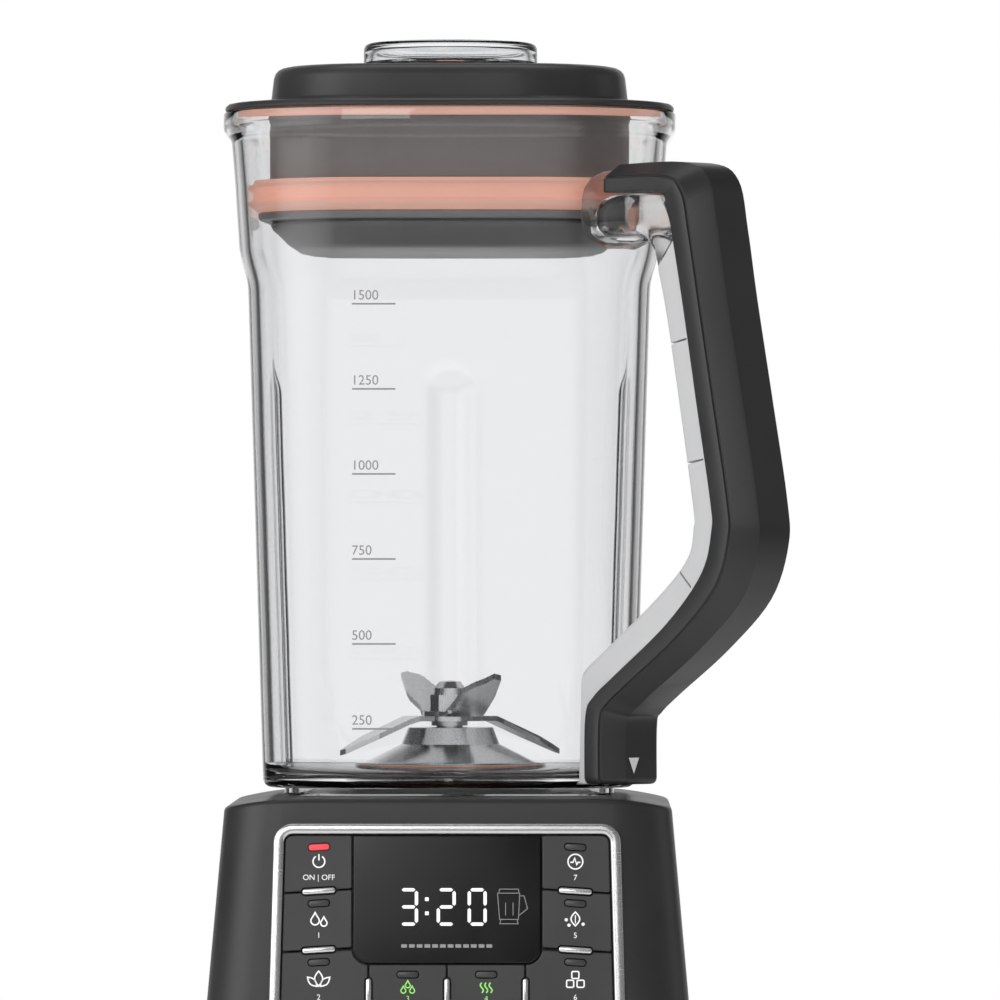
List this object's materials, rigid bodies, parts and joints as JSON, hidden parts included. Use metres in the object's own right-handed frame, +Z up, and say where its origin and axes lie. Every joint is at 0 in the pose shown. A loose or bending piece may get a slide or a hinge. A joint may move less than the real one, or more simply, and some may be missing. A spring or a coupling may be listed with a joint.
{
  "type": "vacuum blender",
  "caption": "Countertop vacuum blender: dark motor base with display, keys and speed knob, clear square jug with corner handle, sealed lid, clear cap and driven blades.",
  "frame": {"origin": "on the table under the drive axis", "axes": "+Z up the drive axis, -Y out of the control panel, +X to its right as seen by the user"},
  "size_m": [0.1799, 0.186, 0.3625],
  "materials": {
    "housing_black": "fine-textured moulded plastic",
    "cover_black": "satin moulded plastic",
    "lid_black": "satin moulded plastic",
    "key_black": "fine-textured key caps",
    "lens_black": "polished smoked window",
    "frame_silver": "satin silver",
    "clear_plastic": "clear moulded copolyester",
    "seal_pink": "soft silicone",
    "rubber_black": "matt rubber",
    "blade_steel": "ground stainless steel",
    "bearing_steel": "polished races",
    "shaft_steel": "turned steel",
    "core_steel": "stacked laminations",
    "motor_metal": "die-cast",
    "copper": "enamelled winding",
    "carbon": "pressed carbon",
    "inner_plastic": "moulded plastic",
    "board_green": "coated board",
    "light_pipe": "clear light guide"
  },
  "bodies": {
    "base": {"base_housing": "housing_black", "base_plate": "inner_plastic", "rubber_feet": "rubber_black", "base_screws": "shaft_steel", "cord_gland": "rubber_black", "well_seal": "rubber_black", "control_frame": "frame_silver", "panel_carrier": "key_black", "display_lens": "lens_black", "display_module": "inner_plastic", "indicator_light_pipes": "light_pipe", "key_trim_bars": "frame_silver", "control_board": "board_green", "tact_switches": "inner_plastic", "power_board": "board_green", "rotary_encoder": "inner_plastic", "lower_motor_bracket": "motor_metal", "upper_motor_bracket": "motor_metal", "motor_bolts": "shaft_steel", "motor_mounts": "rubber_black", "stator_core": "core_steel", "field_coils": "copper", "motor_bearings": "bearing_steel", "brush_holders": "inner_plastic", "carbon_brushes": "carbon"},
    "rotor": {"motor_shaft": "shaft_steel", "armature_core": "core_steel", "commutator": "copper", "cooling_fan": "inner_plastic", "drive_coupling": "inner_plastic"},
    "jug_body": {"jug": "clear_plastic", "handle_cover": "cover_black", "blade_holder": "blade_steel", "holder_seal": "seal_pink", "lock_ring": "lid_black", "blade_bearings": "bearing_steel", "shaft_seal": "rubber_black"},
    "blade_set": {"blade_shaft": "shaft_steel", "lower_blade": "blade_steel", "upper_blade": "blade_steel", "blade_nut": "blade_steel", "driven_coupling": "inner_plastic"},
    "lid_body": {"lid_cover": "lid_black", "lid_plug": "lid_black", "lid_tray": "lid_black", "lid_rim_seal": "seal_pink", "lid_plug_seal": "seal_pink", "lid_valve": "seal_pink"},
    "cap_body": {"lid_cap": "clear_plastic"},
    "knob_body": {"speed_knob": "cover_black", "encoder_shaft": "shaft_steel"},
    "start_stop_key_body": {"start_stop_key": "key_black"},
    "drops_key_body": {"drops_key": "key_black"},
    "leaf_key_body": {"leaf_key": "key_black"},
    "pulse_key_body": {"pulse_key": "key_black"},
    "grind_key_body": {"grind_key": "key_black"},
    "ice_key_body": {"ice_key": "key_black"},
    "cream_key_body": {"cream_key": "key_black"},
    "soup_key_body": {"soup_key": "key_black"}
  },
  "joints": [
    {"name": "jug_lift", "type": "slide", "parent": "base", "child": "jug_body", "axis": [0, 0, 1], "range_m": [0, 0.06]},
    {"name": "lid_lift", "type": "slide", "parent": "jug_body", "child": "lid_body", "axis": [0, 0, 1], "range_m": [0, 0.08]},
    {"name": "cap_lift", "type": "slide", "parent": "lid_body", "child": "cap_body", "axis": [0, 0, 1], "range_m": [0, 0.03]},
    {"name": "motor_spin", "type": "hinge", "parent": "base", "child": "rotor", "pos_m": [0, 0, 0.06], "axis": [0, 0, 1], "continuous": true},
    {"name": "blade_spin", "type": "hinge", "parent": "jug_body", "child": "blade_set", "pos_m": [0, 0, 0.14], "axis": [0, 0, 1], "continuous": true},
    {"name": "knob_turn", "type": "hinge", "parent": "base", "child": "knob_body", "pos_m": [0, -0.07716, 0.04684], "axis": [0, -0.9966, 0.0818], "continuous": true},
    {"name": "start_stop_press", "type": "slide", "parent": "base", "child": "start_stop_key_body", "axis": [0, 0.9966, -0.0818], "range_m": [0, 0.0008], "stiffness_N_per_m": 400},
    {"name": "drops_press", "type": "slide", "parent": "base", "child": "drops_key_body", "axis": [0, 0.9966, -0.0818], "range_m": [0, 0.0008], "stiffness_N_per_m": 400},
    {"name": "leaf_press", "type": "slide", "parent": "base", "child": "leaf_key_body", "axis": [0, 0.9966, -0.0818], "range_m": [0, 0.0008], "stiffness_N_per_m": 400},
    {"name": "pulse_press", "type": "slide", "parent": "base", "child": "pulse_key_body", "axis": [0, 0.9966, -0.0818], "range_m": [0, 0.0008], "stiffness_N_per_m": 400},
    {"name": "grind_press", "type": "slide", "parent": "base", "child": "grind_key_body", "axis": [0, 0.9966, -0.0818], "range_m": [0, 0.0008], "stiffness_N_per_m": 400},
    {"name": "ice_press", "type": "slide", "parent": "base", "child": "ice_key_body", "axis": [0, 0.9966, -0.0818], "range_m": [0, 0.0008], "stiffness_N_per_m": 400},
    {"name": "cream_press", "type": "slide", "parent": "base", "child": "cream_key_body", "axis": [0, 0.9966, -0.0818], "range_m": [0, 0.0008], "stiffness_N_per_m": 400},
    {"name": "soup_press", "type": "slide", "parent": "base", "child": "soup_key_body", "axis": [0, 0.9966, -0.0818], "range_m": [0, 0.0008], "stiffness_N_per_m": 400}
  ],
  "couplings": [
    {"joint": "blade_spin", "follows": "motor_spin", "ratio": 1}
  ]
}
